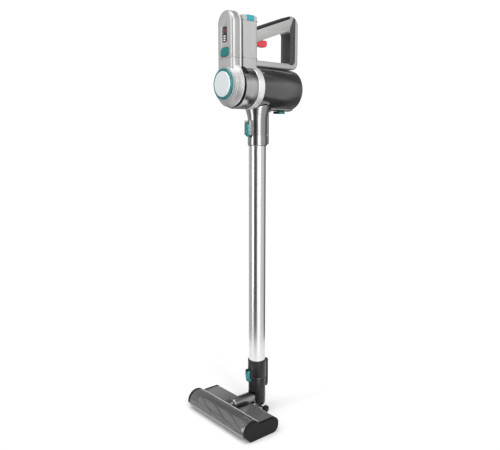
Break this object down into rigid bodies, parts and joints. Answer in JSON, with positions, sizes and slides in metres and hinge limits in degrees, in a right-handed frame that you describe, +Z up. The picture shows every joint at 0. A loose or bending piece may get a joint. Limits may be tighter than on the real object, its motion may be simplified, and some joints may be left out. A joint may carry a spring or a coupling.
{
  "type": "cordless stick vacuum",
  "caption": "Upright cordless stick vacuum: powered floor head, swivel neck, aluminium wand and a hand unit with dust cup, battery pod and loop handle.",
  "frame": {"origin": "middle of the floor head's flat sole, on the floor, in the centre plane", "axes": "+Z up along the upright wand; -Y is the front, where the brush and the pod face; +X is the machine's right as seen from the front of the picture view"},
  "size_m": [0.226, 0.244, 0.9502],
  "materials": {
    "silver_plastic": "metallic silver lacquer, satin",
    "pale_plastic": "light grey, satin",
    "white_trim": "bright plated plastic edge",
    "teal_plastic": "metallic teal",
    "cyan_plastic": "light cyan",
    "red_plastic": "gloss red",
    "pearl_plastic": "pearl white",
    "black_plastic": "fine matte grain",
    "charcoal_plastic": "satin",
    "grey_metallic": "dark metallic lacquer, gloss",
    "deck_grey": "high gloss grey",
    "chromed_plastic": "glossy silver-grey",
    "smoke_clear": "smoked transparent",
    "display_black": "dark window",
    "aluminium": "bright drawn tube",
    "cell_wrap": "wrapped lithium cell",
    "motor_metal": "motor casing",
    "steel": "plain steel",
    "rubber": "matt rubber",
    "bristle": "nylon tufts",
    "filter_paper": "pleated paper",
    "circuit_board": "green board",
    "wire": "insulated pair"
  },
  "bodies": {
    "head": {"head_base": "black_plastic", "head_cover": "deck_grey", "brush_window": "smoke_clear", "front_lip": "chromed_plastic", "end_cap_left": "black_plastic", "end_cap_right": "black_plastic", "brush_motor": "motor_metal", "drive_belt": "rubber", "brush_bearings": "steel", "cover_screws": "steel"},
    "brush": {"brush_roller": "grey_metallic", "brush_bristles": "bristle"},
    "motor_pulley": {"motor_pulley": "steel"},
    "swivel": {"swivel_barrel": "chromed_plastic", "rear_axle": "charcoal_plastic"},
    "wheel_left": {"rear_wheel_left": "black_plastic"},
    "wheel_right": {"rear_wheel_right": "black_plastic"},
    "neck": {"floor_neck": "charcoal_plastic", "pivot_pins": "charcoal_plastic"},
    "wand": {"wand_sleeve": "charcoal_plastic", "wand_tube": "aluminium", "wand_collar": "chromed_plastic", "wand_wiring": "wire"},
    "lower_button": {"lower_button": "teal_plastic"},
    "hand_unit": {"inlet_neck": "chromed_plastic", "cup_rail": "silver_plastic", "motor_housing": "grey_metallic", "groove_ring": "black_plastic", "collar_ring": "white_trim", "motor_frame": "motor_metal", "mesh_filter": "steel", "cyclone_cone": "charcoal_plastic", "cup_seals": "rubber", "display_cover": "silver_plastic", "filter_housing": "silver_plastic", "pod_trim": "white_trim", "display_window": "display_black", "display_board": "circuit_board", "battery_dock": "black_plastic", "hepa_filter": "filter_paper", "handle_frame": "silver_plastic", "grip_strip": "charcoal_plastic", "handle_liner": "black_plastic", "hinge_pins": "steel", "trigger_spring": "steel"},
    "rotor": {"motor_rotor": "steel", "impeller": "aluminium"},
    "dust_cup": {"dust_cup": "smoke_clear"},
    "cup_lid": {"cup_lid": "smoke_clear", "lid_seal": "rubber"},
    "cup_latch": {"cup_latch": "teal_plastic"},
    "power_button": {"power_button": "teal_plastic"},
    "filter_cap": {"filter_ring": "teal_plastic", "filter_disc": "pearl_plastic"},
    "battery": {"battery_case": "pale_plastic", "battery_cells": "cell_wrap"},
    "battery_button_left": {"battery_button_left": "cyan_plastic"},
    "battery_button_right": {"battery_button_right": "cyan_plastic"},
    "upper_button": {"upper_button": "teal_plastic"},
    "trigger": {"trigger": "red_plastic"}
  },
  "joints": [
    {"name": "brush_spin", "type": "hinge", "parent": "head", "child": "brush", "pos_m": [0, -0.0393, 0.0168], "axis": [1, 0, 0], "continuous": true},
    {"name": "motor_spin", "type": "hinge", "parent": "head", "child": "motor_pulley", "pos_m": [-0.09, -0.0003, 0.018], "axis": [1, 0, 0], "continuous": true},
    {"name": "swivel_roll", "type": "hinge", "parent": "head", "child": "swivel", "pos_m": [0, 0.0237, 0.0383], "axis": [0, 1, 0], "range_deg": [-75, 75]},
    {"name": "wheel_left_spin", "type": "hinge", "parent": "swivel", "child": "wheel_left", "pos_m": [-0.0275, 0.0687, 0.0088], "axis": [1, 0, 0], "continuous": true},
    {"name": "wheel_right_spin", "type": "hinge", "parent": "swivel", "child": "wheel_right", "pos_m": [0.0275, 0.0687, 0.0088], "axis": [1, 0, 0], "continuous": true},
    {"name": "neck_pitch", "type": "hinge", "parent": "swivel", "child": "neck", "pos_m": [0, 0.0637, 0.0383], "axis": [-1, 0, 0], "range_deg": [0, 80]},
    {"name": "wand_lift", "type": "slide", "parent": "neck", "child": "wand", "axis": [0, 0, 1], "range_m": [0, 0.03]},
    {"name": "lower_button_press", "type": "hinge", "parent": "wand", "child": "lower_button", "pos_m": [0, 0.0369, 0.101], "axis": [-1, 0, 0], "range_deg": [0, 6], "stiffness_Nm_per_rad": 0.3, "springref_deg": -11.46},
    {"name": "hand_unit_lift", "type": "slide", "parent": "wand", "child": "hand_unit", "axis": [0, 0, 1], "range_m": [0, 0.03]},
    {"name": "upper_button_press", "type": "hinge", "parent": "hand_unit", "child": "upper_button", "pos_m": [0, 0.0361, 0.6903], "axis": [-1, 0, 0], "range_deg": [0, 6], "stiffness_Nm_per_rad": 0.3, "springref_deg": -11.46},
    {"name": "rotor_spin", "type": "hinge", "parent": "hand_unit", "child": "rotor", "pos_m": [0, 0.0137, 0.7823], "axis": [0, 1, 0], "continuous": true},
    {"name": "cup_slide", "type": "slide", "parent": "hand_unit", "child": "dust_cup", "axis": [0, 1, 0], "range_m": [0, 0.12]},
    {"name": "lid_open", "type": "hinge", "parent": "dust_cup", "child": "cup_lid", "pos_m": [0, 0.1622, 0.8246], "axis": [1, 0, 0], "range_deg": [0, 85]},
    {"name": "latch_slide", "type": "slide", "parent": "hand_unit", "child": "cup_latch", "axis": [0, 1, 0], "range_m": [0, 0.008], "stiffness_N_per_m": 300, "springref_m": -0.006},
    {"name": "power_press", "type": "slide", "parent": "hand_unit", "child": "power_button", "axis": [0, 1, 0], "range_m": [0, 0.0011], "stiffness_N_per_m": 500, "springref_m": -0.003},
    {"name": "filter_twist", "type": "hinge", "parent": "hand_unit", "child": "filter_cap", "pos_m": [0, -0.0343, 0.7868], "axis": [0, -1, 0], "range_deg": [0, 30]},
    {"name": "battery_lift", "type": "slide", "parent": "hand_unit", "child": "battery", "axis": [0, 0, 1], "range_m": [0, 0.13]},
    {"name": "battery_left_press", "type": "slide", "parent": "battery", "child": "battery_button_left", "axis": [1, 0, 0], "range_m": [0, 0.003], "stiffness_N_per_m": 600, "springref_m": -0.004},
    {"name": "battery_right_press", "type": "slide", "parent": "battery", "child": "battery_button_right", "axis": [-1, 0, 0], "range_m": [0, 0.003], "stiffness_N_per_m": 600, "springref_m": -0.004},
    {"name": "trigger_pull", "type": "hinge", "parent": "hand_unit", "child": "trigger", "pos_m": [0, 0.0529, 0.8837], "axis": [1, 0, 0], "range_deg": [0, 9], "stiffness_Nm_per_rad": 0.5, "springref_deg": -17.19, "deforming": ["trigger_spring"]}
  ],
  "couplings": [
    {"joint": "motor_spin", "follows": "brush_spin", "ratio": 2}
  ]
}
